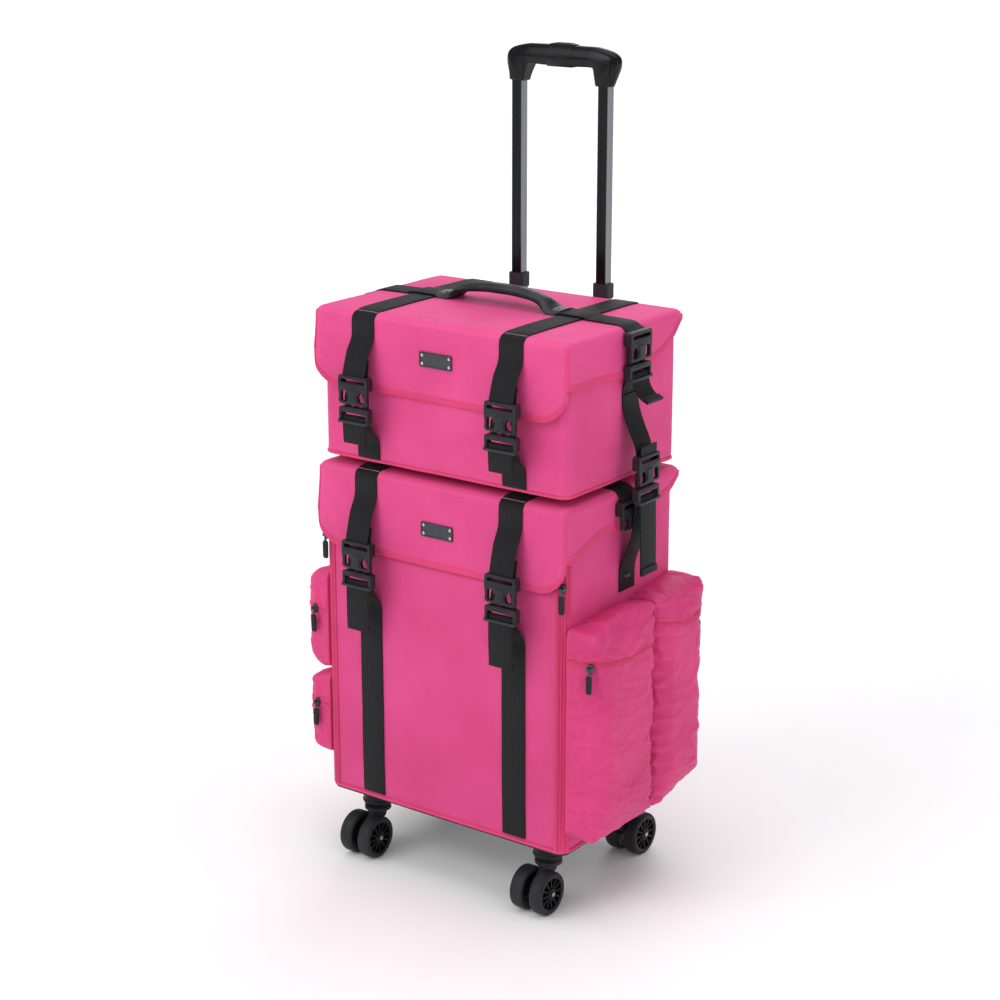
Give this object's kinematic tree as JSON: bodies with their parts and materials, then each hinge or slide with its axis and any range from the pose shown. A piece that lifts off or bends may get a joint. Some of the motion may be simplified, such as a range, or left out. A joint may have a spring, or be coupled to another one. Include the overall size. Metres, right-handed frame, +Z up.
{
  "type": "makeup train case",
  "caption": "Soft-sided rolling makeup trunk with a strapped-on vanity case, lift-up lids, drop-down front, side pockets, telescopic handle and swivel casters.",
  "frame": {"origin": "on the floor under the middle of the trunk", "axes": "+X to the right seen from the front, -Y towards the front, +Z up"},
  "size_m": [0.4984, 0.328, 1.137],
  "materials": {
    "pink_fabric": "woven polyester, satin sheen",
    "webbing": "ribbed polypropylene webbing",
    "buckle_plastic": "satin moulded acetal",
    "moulded_plastic": "fine moulded grain",
    "grip_plastic": "glossy moulded",
    "grip_rubber": "soft matt",
    "wheel_rubber": "black polyurethane tread on a plastic hub",
    "steel": "plated",
    "zip_metal": "black enamel",
    "black_tube": "glossy black anodised",
    "plate_metal": "dark satin, unmarked",
    "lining": "smooth lining cloth over board"
  },
  "bodies": {
    "trunk": {"trunk_shell": "pink_fabric", "base_plate": "moulded_plastic", "caster_sockets": "moulded_plastic", "outer_tubes": "steel", "tube_brackets": "moulded_plastic", "handle_cover": "pink_fabric", "trunk_shelf": "lining", "right_front_pocket": "pink_fabric", "right_rear_pocket": "pink_fabric", "left_upper_pocket": "pink_fabric", "left_lower_pocket": "pink_fabric", "trunk_side_straps": "webbing", "trunk_side_plugs": "buckle_plastic", "strap_rivets": "steel", "zip_sliders": "zip_metal"},
    "front_door": {"door_panel": "pink_fabric", "door_straps": "webbing", "door_plugs": "buckle_plastic"},
    "trunk_lid": {"trunk_lid": "pink_fabric", "trunk_lid_straps": "webbing", "trunk_cross_strap": "webbing", "trunk_lid_sockets": "buckle_plastic", "trunk_name_plate": "plate_metal", "trunk_plate_rivets": "steel"},
    "vanity_case": {"vanity_shell": "pink_fabric", "vanity_divider": "lining", "vanity_front_straps": "webbing", "vanity_side_straps": "webbing", "vanity_plugs": "buckle_plastic", "vanity_side_sockets": "buckle_plastic"},
    "vanity_lid": {"vanity_lid": "pink_fabric", "vanity_lid_straps": "webbing", "vanity_cross_strap": "webbing", "vanity_lid_sockets": "buckle_plastic", "vanity_name_plate": "plate_metal", "vanity_plate_rivets": "steel", "carry_handle": "grip_rubber"},
    "handle_lower": {"middle_tubes": "black_tube", "tube_collars": "moulded_plastic"},
    "handle_upper": {"inner_tubes": "black_tube", "handle_grip": "grip_plastic"},
    "release_button": {"release_button": "moulded_plastic"},
    "fork_front_left": {"fork_front_left": "moulded_plastic"},
    "wheels_front_left": {"wheels_front_left": "wheel_rubber", "axle_front_left": "steel"},
    "fork_front_right": {"fork_front_right": "moulded_plastic"},
    "wheels_front_right": {"wheels_front_right": "wheel_rubber", "axle_front_right": "steel"},
    "fork_rear_left": {"fork_rear_left": "moulded_plastic"},
    "wheels_rear_left": {"wheels_rear_left": "wheel_rubber", "axle_rear_left": "steel"},
    "fork_rear_right": {"fork_rear_right": "moulded_plastic"},
    "wheels_rear_right": {"wheels_rear_right": "wheel_rubber", "axle_rear_right": "steel"},
    "pull_right_front": {"pull_right_front": "zip_metal"},
    "pull_right_rear": {"pull_right_rear": "zip_metal"},
    "pull_left_upper": {"pull_left_upper": "zip_metal"},
    "pull_left_lower": {"pull_left_lower": "zip_metal"},
    "pull_door_left": {"pull_door_left": "zip_metal"},
    "pull_door_right": {"pull_door_right": "zip_metal"}
  },
  "joints": [
    {"name": "front_door_hinge", "type": "hinge", "parent": "trunk", "child": "front_door", "pos_m": [0, -0.13, 0.104], "axis": [1, 0, 0], "range_deg": [0, 95]},
    {"name": "trunk_lid_hinge", "type": "hinge", "parent": "trunk", "child": "trunk_lid", "pos_m": [0, 0.13, 0.578], "axis": [-1, 0, 0], "range_deg": [0, 85]},
    {"name": "vanity_lift", "type": "slide", "parent": "trunk", "child": "vanity_case", "axis": [0, 0, 1], "range_m": [0, 0.62]},
    {"name": "vanity_lid_hinge", "type": "hinge", "parent": "vanity_case", "child": "vanity_lid", "pos_m": [0, 0.13, 0.795], "axis": [-1, 0, 0], "range_deg": [0, 75]},
    {"name": "handle_lower_slide", "type": "slide", "parent": "trunk", "child": "handle_lower", "axis": [0, 0, 1], "range_m": [-0.225, 0]},
    {"name": "handle_upper_slide", "type": "slide", "parent": "handle_lower", "child": "handle_upper", "axis": [0, 0, 1], "range_m": [-0.265, 0]},
    {"name": "release_button_press", "type": "slide", "parent": "handle_upper", "child": "release_button", "axis": [0, 0, -1], "range_m": [0, 0.0035], "stiffness_N_per_m": 600, "springref_m": -0.001},
    {"name": "swivel_front_left", "type": "hinge", "parent": "trunk", "child": "fork_front_left", "pos_m": [-0.15, -0.09, 0.078], "axis": [0, 0, 1], "continuous": true},
    {"name": "spin_front_left", "type": "hinge", "parent": "fork_front_left", "child": "wheels_front_left", "pos_m": [-0.15, -0.117, 0.0305], "axis": [1, 0, 0], "continuous": true},
    {"name": "swivel_front_right", "type": "hinge", "parent": "trunk", "child": "fork_front_right", "pos_m": [0.15, -0.09, 0.078], "axis": [0, 0, 1], "continuous": true},
    {"name": "spin_front_right", "type": "hinge", "parent": "fork_front_right", "child": "wheels_front_right", "pos_m": [0.15, -0.117, 0.0305], "axis": [1, 0, 0], "continuous": true},
    {"name": "swivel_rear_left", "type": "hinge", "parent": "trunk", "child": "fork_rear_left", "pos_m": [-0.15, 0.09, 0.078], "axis": [0, 0, 1], "continuous": true},
    {"name": "spin_rear_left", "type": "hinge", "parent": "fork_rear_left", "child": "wheels_rear_left", "pos_m": [-0.15, 0.117, 0.0305], "axis": [1, 0, 0], "continuous": true},
    {"name": "swivel_rear_right", "type": "hinge", "parent": "trunk", "child": "fork_rear_right", "pos_m": [0.15, 0.09, 0.078], "axis": [0, 0, 1], "continuous": true},
    {"name": "spin_rear_right", "type": "hinge", "parent": "fork_rear_right", "child": "wheels_rear_right", "pos_m": [0.15, 0.117, 0.0305], "axis": [1, 0, 0], "continuous": true},
    {"name": "pull_right_front_swing", "type": "hinge", "parent": "trunk", "child": "pull_right_front", "pos_m": [0.243, -0.1355, 0.376], "axis": [-1, 0, 0], "range_deg": [0, 110]},
    {"name": "pull_right_rear_swing", "type": "hinge", "parent": "trunk", "child": "pull_right_rear", "pos_m": [0.243, 0.1335, 0.376], "axis": [1, 0, 0], "range_deg": [0, 110]},
    {"name": "pull_left_upper_swing", "type": "hinge", "parent": "trunk", "child": "pull_left_upper", "pos_m": [-0.224, -0.1355, 0.362], "axis": [-1, 0, 0], "range_deg": [0, 110]},
    {"name": "pull_left_lower_swing", "type": "hinge", "parent": "trunk", "child": "pull_left_lower", "pos_m": [-0.224, -0.1355, 0.22], "axis": [-1, 0, 0], "range_deg": [0, 110]},
    {"name": "pull_door_left_swing", "type": "hinge", "parent": "trunk", "child": "pull_door_left", "pos_m": [-0.199, -0.1355, 0.476], "axis": [-1, 0, 0], "range_deg": [0, 85]},
    {"name": "pull_door_right_swing", "type": "hinge", "parent": "trunk", "child": "pull_door_right", "pos_m": [0.199, -0.1355, 0.476], "axis": [-1, 0, 0], "range_deg": [0, 85]}
  ],
  "couplings": [
    {"joint": "trunk_lid_hinge", "follows": "vanity_lift", "rad_per_m": 2.39}
  ]
}
